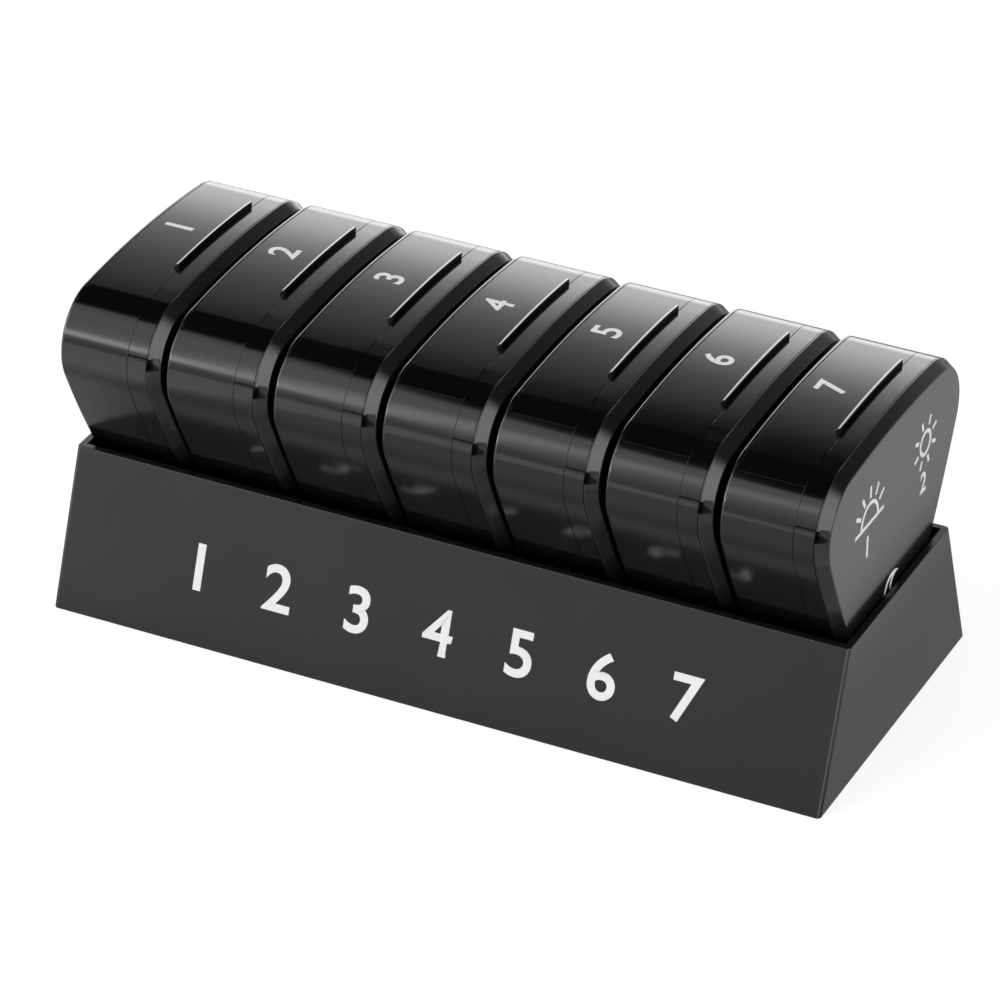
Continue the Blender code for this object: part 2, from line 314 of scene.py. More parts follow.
# Rounds the sharp outward edges, all of them or the chosen ones
def soften(piece, width=softEdge["width"], chosen=None):
    def roundEdges(work):
        mergeFaces(work)
        sharp = [e for e in work.edges if len(e.link_faces) == 2 and e.is_convex
                 and e.calc_face_angle(0.0) > softEdge["limit"] and (chosen is None or chosen(e))]
        bmesh.ops.bevel(work, geom=sharp, offset=width, segments=softEdge["segments"], profile=0.5,
                        affect="EDGES", clamp_overlap=False, loop_slide=True)
        bmesh.ops.remove_doubles(work, verts=work.verts, dist=weldDistance)
    editMesh(piece.data, roundEdges)
    return piece


# Smooth shading in which flat faces keep flat normals
def smooth(piece):
    mesh = piece.data
    mesh.shade_smooth()
    mesh.set_sharp_from_angle(angle=softEdge["sharp"])
    modifier = piece.modifiers.new("flat faces", "WEIGHTED_NORMAL")
    modifier.keep_sharp = True
    modifier.weight = softEdge["flatWeight"]
    piece.data = evaluatedMesh(piece)
    piece.modifiers.clear()
    return piece


# Exact normals on the section's own surface, so that its gloss is one clean sweep whatever the faces there
def followSection(piece):
    mesh = piece.data
    normals = [corner.vector.copy() for corner in mesh.corner_normals]
    facing = math.cos(softEdge["limit"] / 4.0)
    for face in mesh.polygons:
        for loop in face.loop_indices:
            place = mesh.vertices[mesh.loops[loop].vertex_index].co
            outward, inset = sectionNormal(Vector((place.y, place.z)))
            outward = Vector((0.0, outward.x, outward.y))
            if abs(inset) < softEdge["depth"] and outward.dot(face.normal) > facing:
                normals[loop] = outward
    mesh.normals_split_custom_set(normals)
    return piece


# A copy of a finished piece for each day, in its place, riding on its body and standing for its CAD node
def sevenTimes(pattern, kind, body, material):
    for day in range(1, days + 1):
        mesh = pattern.data.copy()
        mesh.transform(Matrix.Translation(boxPlace(day)))
        mesh.materials.clear()
        mesh.materials.append(material)
        piece = newPiece(f"day{day}{kind[0].upper()}{kind[1:]}", mesh)
        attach(piece, f"day_{day}_{body}")
        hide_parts(f"day_{day}_{kind}" if kind != "endCap" else f"day_{day}_end_cap")
    remove(pattern)


# Nodes, for materials and shapes alike: a socket with operators, and one method for every node
# An operator in its plain and its reflected form, each a maths node
def operator(operation):
    def plain(self, other):
        return self.net.maths(operation, self, other)

    def reflected(self, other):
        return self.net.maths(operation, other, self)
    return plain, reflected


class Value:
    def __init__(self, net, socket):
        self.net = net
        self.socket = socket

    __add__, __radd__ = operator("ADD")
    __sub__, __rsub__ = operator("SUBTRACT")
    __mul__, __rmul__ = operator("MULTIPLY")
    __truediv__, __rtruediv__ = operator("DIVIDE")
    __gt__, __lt__ = operator("GREATER_THAN")

    def output(self, name):
        return Value(self.net, self.socket.node.outputs[name])


class Net:
    def __init__(self, tree):
        self.tree = tree

    def add(self, kind, settings=None, sockets=None, output=0):
        node = self.tree.nodes.new(kind)
        for name, setting in (settings or {}).items():
            if name == "stops":
                self.setStops(node.color_ramp, setting)
            else:
                setattr(node, name, setting)
        for name, value in (sockets or {}).items():
            self.feed(node.inputs[name], value)
        return Value(self, node.outputs[output]) if node.outputs else node

    def feed(self, socket, value):
        if isinstance(value, (list, tuple)) and value and isinstance(value[0], Value):
            for part in value:
                self.tree.links.new(part.socket, socket)
        elif isinstance(value, Value):
            self.tree.links.new(value.socket, socket)
        else:
            socket.default_value = value

    def setStops(self, ramp, stops):
        while len(ramp.elements) > 1:
            ramp.elements.remove(ramp.elements[-1])
        for number, (place, grey) in enumerate(stops):
            element = ramp.elements[0] if number == 0 else ramp.elements.new(place)
            element.position = place
            element.color = (grey, grey, grey, 1.0)

    def maths(self, operation, *terms):
        return self.add("ShaderNodeMath", {"operation": operation}, dict(enumerate(terms)))

    def sine(self, value):
        return self.maths("SINE", value)

    def cosine(self, value):
        return self.maths("COSINE", value)

    def floor(self, value):
        return self.maths("FLOOR", value)

    def choose(self, switch, yes, no):
        return switch * yes + (1.0 - switch) * no

    def ease(self, value, low, high, start=0.0, end=1.0):
        return self.add("ShaderNodeMapRange", {"interpolation_type": "SMOOTHSTEP"},
                        {0: value, 1: low, 2: high, 3: start, 4: end})

    # 1 between two slopes, each told by where it begins and where it ends
    def hill(self, value, upward, downward):
        return self.ease(value, *upward) * self.ease(value, *downward)

    def vector(self, x, y, z):
        return self.add("ShaderNodeCombineXYZ", {}, {0: x, 1: y, 2: z})

    def parts(self, vector):
        node = self.add("ShaderNodeSeparateXYZ", {}, {0: vector})
        return node, node.output("Y"), node.output("Z")

    def colours(self, factor, first, second):
        return self.add("ShaderNodeMix", {"data_type": "RGBA"}, {0: factor, 6: first, 7: second}, output=2)

    def noise(self, place, scale, detail, roughness=0.5):
        return self.add("ShaderNodeTexNoise", {}, {"Vector": place, "Scale": scale, "Detail": detail,
                                                   "Roughness": roughness})

    def bump(self, height, distance):
        return self.add("ShaderNodeBump", {}, {"Height": height, "Distance": distance})

    def placed(self, geometry, places):
        return self.add("GeometryNodeSetPosition", {}, {"Geometry": geometry, "Position": places})

    # Ends a tree of shapes
    def close(self, geometry, material):
        plain = self.add("GeometryNodeRealizeInstances", {}, {"Geometry": geometry})
        done = self.add("GeometryNodeSetMaterial", {}, {"Geometry": plain, "Material": material})
        self.add("NodeGroupOutput", {}, {"Geometry": done})


def newMaterial(name):
    material = bpy.data.materials.new(name)
    material.use_nodes = True
    material.node_tree.nodes.clear()
    return material, Net(material.node_tree)


def plastic(net, colour, roughness, normal, constants=None):
    sockets = {"Base Color": colour, "Roughness": roughness, "Normal": normal}
    sockets.update(constants or {})
    shader = net.add("ShaderNodeBsdfPrincipled", {}, sockets)
    net.add("ShaderNodeOutputMaterial", {}, {"Surface": shader})


def objectPlace(net):
    return net.add("ShaderNodeTexCoord", {}, {}, output="Object")


glossBlack = {
    "colour": (0.0022, 0.0022, 0.0026, 1.0),
    "dust": (0.016, 0.016, 0.017, 1.0),
    "roughness": 0.12,
    "smudgeScale": 48.0,
    "smudgeRange": (0.45, 0.75),
    "smudge": 0.02,                    # how much duller a handled place is
    "smudgeShare": 0.05,               # and how much of the dust's colour it takes
    "speckScale": 2600.0,
    "speckRange": (0.74, 0.80),
    "speck": 0.04,
    "speckShare": 0.5,
    "peelScale": 160.0,                # slow waves of a moulded gloss surface
    "peelHeight": 0.0007 * mm,
}


def makeGlossBlack():
    material, net = newMaterial("gloss black plastic")
    place = objectPlace(net)
    smudge = net.ease(net.noise(place, glossBlack["smudgeScale"], 4.0, 0.6), *glossBlack["smudgeRange"])
    speck = net.ease(net.noise(place, glossBlack["speckScale"], 1.0), *glossBlack["speckRange"])
    colour = net.colours(speck * glossBlack["speckShare"] + smudge * glossBlack["smudgeShare"],
                         glossBlack["colour"], glossBlack["dust"])
    roughness = glossBlack["roughness"] + smudge * glossBlack["smudge"] + speck * glossBlack["speck"]
    peel = net.noise(place, glossBlack["peelScale"], 1.0)
    plastic(net, colour, roughness, net.bump(peel, glossBlack["peelHeight"]))
    return material


satinBlack = {
    "colour": (0.0075, 0.0075, 0.008, 1.0),
    "worn": (0.013, 0.013, 0.0135, 1.0),
    "roughness": 0.16,
    "sparkScale": 3200.0,              # the fine spark-eroded grain, about a third of a millimetre
    "sparkHeight": 0.004 * mm,
    "sparkSpread": 0.05,
    "flowScale": 24.0,
    "flowRange": (0.3, 0.7),
    "flowSpread": 0.05,
    "rubbedScale": 160.0,
    "rubbedRange": (0.55, 0.8),
    "rubbedPolish": 0.02,
    "shares": (0.5, 0.35, 0.15),       # of flow, rubbing and grain in the worn colour
}


def makeSatinBlack(name, values):
    material, net = newMaterial(name)
    place = objectPlace(net)
    spark = net.noise(place, values["sparkScale"], 2.0, 0.6)
    flow = net.noise(place, values["flowScale"], 3.0, 0.55)
    rubbed = net.ease(net.noise(place, values["rubbedScale"], 3.0, 0.6), *values["rubbedRange"])
    inFlow, inRubbed, inSpark = values["shares"]
    worn = net.ease(flow, *values["flowRange"]) * inFlow + rubbed * inRubbed + spark * inSpark
    roughness = (values["roughness"] + (flow - 0.5) * values["flowSpread"] - rubbed * values["rubbedPolish"]
                 + (spark - 0.5) * values["sparkSpread"])
    plastic(net, net.colours(worn, values["colour"], values["worn"]), roughness,
            net.bump(spark, values["sparkHeight"]))
    return material


trayBlack = dict(satinBlack, colour=(0.0035, 0.0035, 0.004, 1.0), worn=(0.007, 0.007, 0.0074, 1.0),
                 roughness=0.24, sparkScale=2400.0)
whiteInk = {
    "colour": (0.80, 0.80, 0.79, 1.0),
    "thin": (0.62, 0.62, 0.61, 1.0),
    "roughness": 0.48,
    "roughnessSpread": 0.1,
    "holeScale": 4200.0,               # the screen's faint pinholes
    "holeRange": (0.58, 0.78),
    "holeShare": 0.5,
    "holeDepth": 0.003 * mm,
    "cloudScale": 260.0,
    "cloudRange": (0.45, 0.8),
    "cloudShare": 0.2,
}
# The tray's print: the same white print painted lighter, as painted light beyond what the lamps give it
trayInkLit = dict(whiteInk, colour=(0.92, 0.92, 0.915, 1.0), thin=(0.78, 0.78, 0.77, 1.0))
# The lids' print: the same white print painted darker, as painted shade against the stronger light on their
# upward faces
lidInkShaded = dict(whiteInk, colour=(0.66, 0.66, 0.655, 1.0), thin=(0.50, 0.50, 0.49, 1.0))


def makeWhiteInk(name, values):
    material, net = newMaterial(name)
    place = objectPlace(net)
    holes = net.ease(net.noise(place, values["holeScale"], 2.0), *values["holeRange"])
    cloud = net.noise(place, values["cloudScale"], 2.0)
    thin = holes * values["holeShare"] + net.ease(cloud, *values["cloudRange"]) * values["cloudShare"]
    roughness = values["roughness"] + (cloud - 0.5) * values["roughnessSpread"]
    plastic(net, net.colours(thin, values["colour"], values["thin"]), roughness,
            net.bump(holes, values["holeDepth"]))
    return material


steelPin = {
    "colour": (0.52, 0.52, 0.53, 1.0),
    "dull": (0.36, 0.355, 0.35, 1.0),
    "roughness": 0.26,
    "roughnessSpread": 0.2,
    "stretch": (0.02, 1.0, 1.0),       # draws the noise out into lines along the pin
    "lineScale": 5200.0,
    "lineRange": (0.4, 0.75),
    "lineDepth": 0.002 * mm,
}


def makeSteelPin():
    material, net = newMaterial("drawn steel pin")
    place = net.add("ShaderNodeMapping", {}, {"Vector": objectPlace(net), "Scale": steelPin["stretch"]})
    lines = net.noise(place, steelPin["lineScale"], 3.0)
    colour = net.colours(net.ease(lines, *steelPin["lineRange"]), steelPin["colour"], steelPin["dull"])
    plastic(net, colour, steelPin["roughness"] + (lines - 0.5) * steelPin["roughnessSpread"],
            net.bump(lines, steelPin["lineDepth"]), {"Metallic": 1.0})
    return material


gloss = makeGlossBlack()
satin = makeSatinBlack("satin black plastic", satinBlack)
traySatin = makeSatinBlack("tray satin black plastic", trayBlack)
ink = makeWhiteInk("white print", whiteInk)
litTrayInk = makeWhiteInk("white print of the tray, painted lighter", trayInkLit)
shadedLidInk = makeWhiteInk("white print of the lids, painted darker", lidInkShaded)
steel = makeSteelPin()
print("materials made")

# The case: a skin round the section, open on the right and under the lid
caseShape = {
    "leftEdge": 0.85 * mm,
    "leftEdgeSteps": 5,
    "lidFront": math.radians(33.0),    # where the lid ends on the front corner, from straight up
    "hinge": math.radians(40.0),
    "lidOpening": math.radians(105.0),
    "barrelRadius": 2.2 * mm,
    "barrelSteps": 40,
    "pinRadius": 0.9 * mm,
}
hingeAxis = sectionPoint(quarter - caseShape["hinge"], caseShape["barrelRadius"])
barrelRoom = caseShape["barrelRadius"] + seam
pinHole = caseShape["pinRadius"] + seam
lidFront = quarter + caseShape["lidFront"]


# The outline as an extruded solid whose left edge is rounded, one ring of points after another
def roundedPlug(name, left, right, radius, steps):
    turns = [quarter * i / steps for i in range(steps + 1)]
    rings = [(left + radius - radius * math.cos(turn), radius - radius * math.sin(turn)) for turn in turns]
    rings.append((right, 0.0))

    def build(work):
        loops = []
        for x, drop in rings:
            loops.append([work.verts.new((x, p.x, p.y)) for p in wholeSection(drop)])
        for one, two in zip(loops, loops[1:]):
            for i in range(len(one)):
                j = (i + 1) % len(one)
                work.faces.new((one[i], one[j], two[j], two[i]))
        work.faces.new(loops[0][::-1])
        work.faces.new(loops[-1])
        bmesh.ops.recalc_face_normals(work, faces=work.faces)
    return built(name, build)


# Where the fully opened lid's outer face leaves the case's inside, and the way it points
def openedLidLine():
    turned = quarter - caseShape["hinge"] - caseShape["lidOpening"]
    foot = hingeAxis + Vector((math.cos(turned), math.sin(turned))) * barrelRoom - backCorner
    outward = Vector((-math.sin(turned), math.cos(turned)))
    along = foot.dot(outward)
    inner = cornerRadius - skin
    reach = -along + math.sqrt(along ** 2 + inner ** 2 - foot.length_squared)
    return backCorner + foot + outward * reach, outward


def makeCase():
    case = roundedPlug("case", 0.0, caseRight, caseShape["leftEdge"], caseShape["leftEdgeSteps"])
    lidEnd = lidFront + fineSeam / cornerRadius
    backEnd, outward = openedLidLine()
    room = [sectionPoint(lidEnd, -overrun)]
    room += sectionRun(lidEnd, direction(backEnd - backCorner) + math.tau, skin)
    room += [backEnd + outward * overrun, Vector((boxHalfDepth + overrun, boxTop + overrun))]
    room += [Vector((-boxHalfDepth, boxTop + overrun))]
    cut(case, prism("caseRoom", [room], endWall, caseRight + overrun),
        rod("casePinHole", hingeAxis, pinHole, -overrun, endWall + overrun))
    return followSection(smooth(soften(case)))


sevenTimes(makeCase(), "case", "box", gloss)
print("cases made")

lipShape = {
    "length": 35.0 * mm,
    "offset": 4.0 * mm,                # how far behind the box's middle its own middle lies
    "height": 1.4 * mm,                # also the radius of its round left shoulder
    "root": 0.8 * mm,                  # how far it reaches into the lid
    "steps": 14,
    "roundSteps": 6,
}


# The lip: a profile with a round left shoulder, swung along the lid's curve about the curve's own centre
def makeLip():
    halfAngle = lipShape["length"] / 2.0 / sideRadius
    start = halfAngle + lipShape["offset"] / sideRadius
    centre = Vector((0.0, 0.0, -sideCentreReach))
    shoulder = arcRun(Vector((0.0, 0.0)), lipShape["height"], quarter, math.pi, lipShape["roundSteps"])[:-1]
    profile = [(p.x, p.y) for p in shoulder]
    profile += [(-lipShape["height"], -lipShape["root"]), (0.0, -lipShape["root"])]

    def swing(work):
        corners = []
        for x, height in profile:
            reach = sideRadius + height
            place = centre + Vector((caseRight + x, reach * math.sin(start), reach * math.cos(start)))
            corners.append(work.verts.new(place))
        face = work.faces.new(corners)
        bmesh.ops.spin(work, geom=[face, *face.edges, *face.verts], cent=centre, axis=(1.0, 0.0, 0.0),
                       angle=2.0 * halfAngle, steps=lipShape["steps"], use_duplicate=False)
        closeMesh(work)
    return built("lip", swing)


def makeLid():
    back = quarter - caseShape["hinge"]
    inner = cornerRadius - skin
    meet = crossing(backCorner, inner, hingeAxis, caseShape["barrelRadius"], 1.0)
    outline = sectionRun(back, lidFront)
    outline += sectionRun(direction(meet - backCorner), lidFront, skin)[::-1]
    outline += arcRun(hingeAxis, caseShape["barrelRadius"], direction(meet - hingeAxis), back + math.tau,
                      caseShape["barrelSteps"])[1:-1]
    hole = arcRun(hingeAxis, pinHole, 0.0, math.tau, rodSides)[:-1]
    lid = prism("lid", [outline, hole], endWall + fineSeam, caseRight)
    join(soften(lid, softEdge["lidWidth"]), soften(makeLip()))
    editMesh(lid.data, mergeFaces)
    return followSection(smooth(lid))


sevenTimes(makeLid(), "lid", "lid", gloss)
print("lids made")

tubShape = {
    "wellWall": 1.2 * mm,
    "middleWellHalf": 7.6 * mm,
    "mouthFront": 28.4 * mm,
    "mouthBack": 25.8 * mm,
    "mouthDepth": 5.0 * mm,
    "pinGrip": 2.4 * mm,
    "grooveLevel": 19.2 * mm,          # a fine line across the flange at the front
    "grooveHeight": 0.35 * mm,
    "grooveDepth": 0.3 * mm,
}
wellInset = insertInset + tubShape["wellWall"]
wellLeft = insertLeft + tubShape["wellWall"]


def makeTub():
    tub = prism("tub", [wholeSection(insertInset)], insertLeft, flangeLeft + boxAlong["flangeWidth"] / 2.0)
    cut(tub, rod("barrelRoom", hingeAxis, barrelRoom, insertLeft - overrun, flangeLeft))
    join(tub, prism("flange", [wholeSection()], flangeLeft, flangeRight))
    wells = prism("wells", [wholeSection(wellInset)], wellLeft, flangeRight + overrun)
    mouthFloor = sectionPoint(quarter, wellInset).y - tubShape["mouthDepth"]
    join(wells, block("mouths", (wellLeft, -tubShape["mouthFront"], mouthFloor),
                      (caseRight, tubShape["mouthBack"], boxTop + overrun)))
    dividers = []
    for side in (-1.0, 1.0):
        edges = sorted((side * tubShape["middleWellHalf"],
                        side * (tubShape["middleWellHalf"] + tubShape["wellWall"])))
        dividers.append(block("divider", (-overrun, edges[0], -boxBottom - overrun),
                              (boxWidth + overrun, edges[1], boxTop + 2.0 * overrun)))
    cut(wells, rod("barrelWall", hingeAxis, barrelRoom + tubShape["wellWall"], -overrun,
                   flangeRight + 2.0 * overrun), *dividers)
    level = tubShape["grooveLevel"]
    half = tubShape["grooveHeight"] / 2.0
    edge = -math.sqrt(cornerRadius ** 2 - (level - apothem) ** 2) - halfSpread
    groove = block("groove", (flangeLeft - overrun, edge - overrun, level - half),
                   (flangeRight + overrun, edge + tubShape["grooveDepth"], level + half))
    pinRoom = rod("tubPinHole", hingeAxis, pinHole, flangeLeft - overrun, flangeLeft + tubShape["pinGrip"])
    cut(tub, wells, pinRoom, groove)
    return followSection(smooth(soften(tub, chosen=onSection)))


sevenTimes(makeTub(), "tub", "box", gloss)
print("tubs made")

capShape = {
    "land": 0.35 * mm,                 # level strip beside the flange, before the sloping edge
    "slope": 1.7 * mm,                 # how far in the sloping edge ends
    "turn": 0.5 * mm,
    "face": 1.4 * mm,
    "smallEdge": 0.12 * mm,
    "filletSteps": 6,
    "sideSteps": 24,
    "cornerSteps": 40,
    "notchHeight": 2.8 * mm,
    "notchRise": 3.2 * mm,             # how far its middle lies above the corner's centre
    "notchDepth": 2.0 * mm,
    "notchSide": 0.5 * mm,             # what is left of the cap outside it
}


# A new Geometry Nodes tree with inputs named by kind and one geometry output: its net and its inputs
def shapeNet(name, inputs):
    tree = bpy.data.node_groups.new(name, "GeometryNodeTree")
    tree.is_modifier = True
    for kind, names in inputs.items():
        for item in names:
            tree.interface.new_socket(name=item, in_out="INPUT", socket_type="NodeSocket" + kind)
    tree.interface.new_socket(name="Geometry", in_out="OUTPUT", socket_type="NodeSocketGeometry")
    net = Net(tree)
    given = net.add("NodeGroupInput")
    return net, {item: given.output(item) for names in inputs.values() for item in names}


# Geometry Nodes: a profile with rounded corners is swept round the section by its rule
def capTree():
    net, size = shapeNet("end cap", {
        "Float": ("Left", "Right", "Land", "Slope", "Turn", "Small edge", "Face", "Inset", "Corner radius",
                  "Corner reach", "Side radius", "Side reach", "Side half angle"),
        "Int": ("Side steps", "Corner steps", "Fillet steps"), "Material": ("Material",)})
    stretch = size["Side steps"] + size["Corner steps"]
    around = stretch * 3.0
    index = net.add("GeometryNodeInputIndex")

    # A point of the section, from its number round and how far in it lies
    def sectionPlace(number, inset, along):
        side = net.floor(number / stretch)
        within = number - side * stretch
        onSide = within < size["Side steps"]
        sideTurn = (2.0 * within / size["Side steps"] - 1.0) * size["Side half angle"]
        cornerTurn = (size["Side half angle"] + (within - size["Side steps"]) / size["Corner steps"]
                      * (third - 2.0 * size["Side half angle"]))
        toward = side * third + quarter
        angle = toward + net.choose(onSide, sideTurn, cornerTurn)
        centreTurn = toward + (1.0 - onSide) * (third / 2.0)
        reach = net.choose(onSide, 0.0 - size["Side reach"], size["Corner reach"])
        radius = net.choose(onSide, size["Side radius"], size["Corner radius"]) - inset
        return net.vector(net.cosine(centreTurn) * reach + net.cosine(angle) * radius,
                          net.sine(centreTurn) * reach + net.sine(angle) * radius, along)

    # The profile: pocket floor, pocket rim, left edge, start and end of the sloping edge, face
    pocket = size["Right"] - size["Face"]
    corners = [(size["Inset"], pocket), (size["Inset"], size["Left"]), (0.0, size["Left"]),
               (0.0, size["Left"] + size["Land"]), (size["Slope"], size["Right"]),
               (size["Slope"] + size["Turn"], size["Right"])]
    insets, alongs, rounds = 0.0, 0.0, 0.0
    for number, (inset, along) in enumerate(corners):
        here = net.maths("COMPARE", index, float(number), 0.1)
        insets = insets + here * inset
        alongs = alongs + here * along
        if 0 < number < 5:
            rounds = rounds + here * (size["Small edge"] if number < 3 else size["Turn"])
    line = net.add("GeometryNodeMeshLine", {}, {"Count": len(corners)})
    line = net.placed(line, net.vector(insets, alongs, 0.0))
    line = net.add("GeometryNodeMeshToCurve", {}, {"Mesh": line})
    line = net.add("GeometryNodeFilletCurve", {"mode": "POLY"},
                   {"Curve": line, "Count": size["Fillet steps"], "Radius": rounds})
    count = net.add("GeometryNodeAttributeDomainSize", {"component": "CURVE"}, {"Geometry": line})

    # The sweep: a grid whose columns go round the section and whose rows follow the profile
    grid = net.add("GeometryNodeMeshGrid", {}, {"Vertices X": around + 1.0, "Vertices Y": count})
    column = net.floor((index + 0.5) / count)
    row = index - column * count
    spot = net.add("GeometryNodeSampleIndex", {"data_type": "FLOAT_VECTOR", "domain": "POINT"},
                   {"Geometry": line, "Value": net.add("GeometryNodeInputPosition"), "Index": row})
    inset, along, _ = net.parts(spot)
    band = net.placed(grid, sectionPlace(column, inset, along))

    # The face and the pocket's floor: filled loops on the same rule
    def disc(inset, along):
        ring = net.add("GeometryNodeCurvePrimitiveCircle", {}, {"Resolution": around, "Radius": 1.0})
        ring = net.placed(ring, sectionPlace(index, inset, 0.0))
        flat = net.add("GeometryNodeFillCurve", {"mode": "NGONS"}, {"Curve": ring})
        lift = net.vector(0.0, 0.0, along)
        return net.add("GeometryNodeSetPosition", {}, {"Geometry": flat, "Offset": lift})

    face = disc(size["Slope"] + size["Turn"], size["Right"])
    floor = disc(size["Inset"], pocket)
    whole = net.add("GeometryNodeJoinGeometry", {}, {"Geometry": [band, face, floor]})
    whole = net.add("GeometryNodeMergeByDistance", {}, {"Geometry": whole, "Distance": weldDistance})
    x, y, z = net.parts(net.add("GeometryNodeInputPosition"))
    net.close(net.placed(whole, net.vector(z, x, y)), size["Material"])
    return net.tree


# Runs a tree on an empty mesh with its inputs set by their identifiers, and keeps the plain mesh
def grown(name, tree, inputs):
    piece = newPiece(name, bpy.data.meshes.new(name))
    modifier = piece.modifiers.new(name, "NODES")
    modifier.node_group = tree
    for item in tree.interface.items_tree:
        if item.in_out == "INPUT":
            modifier[item.identifier] = inputs[item.name]
    mesh = evaluatedMesh(piece)
    piece.modifiers.clear()
    piece.data = mesh
    return piece


def makeEndCap():
    cap = grown("endCap", capTree(), {
        "Left": capLeft, "Right": boxWidth, "Land": capShape["land"], "Slope": capShape["slope"],
        "Turn": capShape["turn"], "Small edge": capShape["smallEdge"], "Face": capShape["face"],
        "Inset": wellInset, "Corner radius": cornerRadius, "Corner reach": spreadRadius,
        "Side radius": sideRadius, "Side reach": sideCentreReach, "Side half angle": sideHalfAngle,
        "Side steps": capShape["sideSteps"], "Corner steps": capShape["cornerSteps"],
        "Fillet steps": capShape["filletSteps"], "Material": satin})
    editMesh(cap.data, lambda work: bmesh.ops.recalc_face_normals(work, faces=work.faces))
    low = apothem + capShape["notchRise"] - capShape["notchHeight"] / 2.0
    high = low + capShape["notchHeight"]
    notches = []
    for side in (-1.0, 1.0):
        ends = sorted((side * (boxHalfDepth - capShape["notchDepth"]), side * (boxHalfDepth + overrun)))
        notches.append(block("notch", (capLeft - overrun, ends[0], low),
                             (boxWidth - capShape["notchSide"], ends[1], high)))
    return smooth(cut(cap, *notches))


sevenTimes(makeEndCap(), "endCap", "box", satin)
print("end caps made")

trayShape = {
    "wall": 1.8 * mm,
    "height": 37.0 * mm,
    "flare": 14.0 * mm,
    "rimOut": 0.5 * mm,                # how far the rim's outer edge stands out past the solid's
    "corner": 1.0 * mm,                # round of the four upright corners
    "cornerSteps": 5,
    "edge": 0.22 * mm,
}


def makeTray():
    low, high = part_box("tray_shell")
    halfLength, footHalf = high.x, high.y
    topHalf = footHalf - trayShape["flare"] + trayShape["rimOut"]
    slope = (footHalf - topHalf) / trayShape["height"]
    level = trayShape["wall"] * math.hypot(1.0, slope)
    top = trayShape["height"]
    tray = block("trayShell", (-halfLength, -footHalf, 0.0), (halfLength, footHalf, top), topHalf)

    def roundCorners(work):
        upright = [e for e in work.edges if abs(e.verts[0].co.z - e.verts[1].co.z) > overrun]
        bmesh.ops.bevel(work, geom=upright, offset=trayShape["corner"], segments=trayShape["cornerSteps"],
                        profile=0.5, affect="EDGES", clamp_overlap=True)
    editMesh(tray.data, roundCorners)
    insideLength = halfLength - trayShape["wall"]
    insideHalf = footHalf - level + slope * overrun
    cut(tray, block("trayInside", (-insideLength, -insideHalf, -overrun),
                    (insideLength, insideHalf, top + overrun), topHalf - level - slope * overrun))
    smooth(soften(tray, trayShape["edge"]))
    tray.data.materials.clear()
    tray.data.materials.append(traySatin)
    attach(tray, "tray")
    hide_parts("tray_shell")


makeTray()
solidFinishes = {"cradle": traySatin, **{f"day_{day}_hinge_pin": steel for day in range(1, days + 1)}}
for node, finish in solidFinishes.items():
    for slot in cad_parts[node].material_slots:
        slot.material = finish
print("tray made")

# Print: thin closed shapes, half sunk in the plastic, drawn flat in U and V and then laid on a face
printShape = {
    "ink": 0.03 * mm,
    "strip": 0.9 * mm,
    "line": 0.95 * mm,
    "ringSteps": 64,
    "archSteps": 40,
    "moonSteps": 48,
    "bolder": 0.022,                   # how far a figure's outline moves out, as a share of its height
}
halfLine = printShape["line"] / 2.0
lidNumber = {"height": 7.2 * mm, "fromLeft": 7.8 * mm, "along": 4.0 * mm}
trayNumber = {"height": 11.2 * mm, "level": 17.6 * mm, "pitch": 20.6 * mm}
capPicture = {
    "number": 5.4 * mm,
    "sunriseAt": (-14.5 * mm, 9.6 * mm),
    "sunriseNumberAt": (-15.2 * mm, 3.4 * mm),
    "sunriseRadius": 4.6 * mm,
    "sunriseRay": 3.0 * mm,
    "horizonHalf": 8.0 * mm,
    "sunAt": (17.2 * mm, 12.8 * mm),
    "sunNumberAt": (17.0 * mm, 2.6 * mm),
    "sunRadius": 2.9 * mm,
    "sunRay": 2.3 * mm,
    "rayGap": 0.9 * mm,
    "moonAt": (1.0 * mm, -16.8 * mm),
    "moonNumberAt": (1.0 * mm, -26.0 * mm),
    "moonRadius": 4.4 * mm,
    "moonBiteRadius": 3.5 * mm,
    "moonBite": 2.3 * mm,              # how far to the side the bite's centre lies
}


# A figure as a thin closed mesh, centred, upright along Y and bolder than its font
def glyph(text, height):
    bolder = printShape["bolder"] * height
    curve = bpy.data.curves.new("figure" + text, "FONT")
    curve.body = text
    curve.align_x = "CENTER"
    curve.extrude = printShape["ink"]
    mesh = curveMesh(curve)
    ys = [v.co.y for v in mesh.vertices]
    xs = [v.co.x for v in mesh.vertices]
    scale = (height - 2.0 * bolder) / (max(ys) - min(ys))
    middle = Vector(((max(xs) + min(xs)) / 2.0, (max(ys) + min(ys)) / 2.0, 0.0))
    for vertex in mesh.vertices:
        flat = (vertex.co - middle) * scale
        vertex.co = (flat.x, flat.y, vertex.co.z)

    def moveOut(work):
        closeMesh(work)
        moves = []
        for vertex in work.verts:
            sides = [face.normal.copy() for face in vertex.link_faces if abs(face.normal.z) < 0.5]
            one, two = min(itertools.combinations(sides, 2), key=lambda pair: pair[0].dot(pair[1]))
            moves.append((one + two) * bolder / (1.0 + one.dot(two)))
        for vertex, move in zip(work.verts, moves):
            vertex.co += move
    editMesh(mesh, moveOut)
    return mesh


# Cuts a flat print into strips across X, so that it can follow a curve
def strips(mesh):
    def cutAcross(work):
        bmesh.ops.remove_doubles(work, verts=work.verts, dist=weldDistance)
        last = int(max(abs(v.co.x) for v in work.verts) / printShape["strip"])
        for step in range(-last, last + 1):
            bmesh.ops.bisect_plane(work, geom=[*work.verts, *work.edges, *work.faces], dist=weldDistance,
                                   plane_co=(step * printShape["strip"], 0.0, 0.0), plane_no=(1.0, 0.0, 0.0))
    editMesh(mesh, cutAcross)


def drawn(loops):
    return filled("drawing", loops, printShape["ink"])


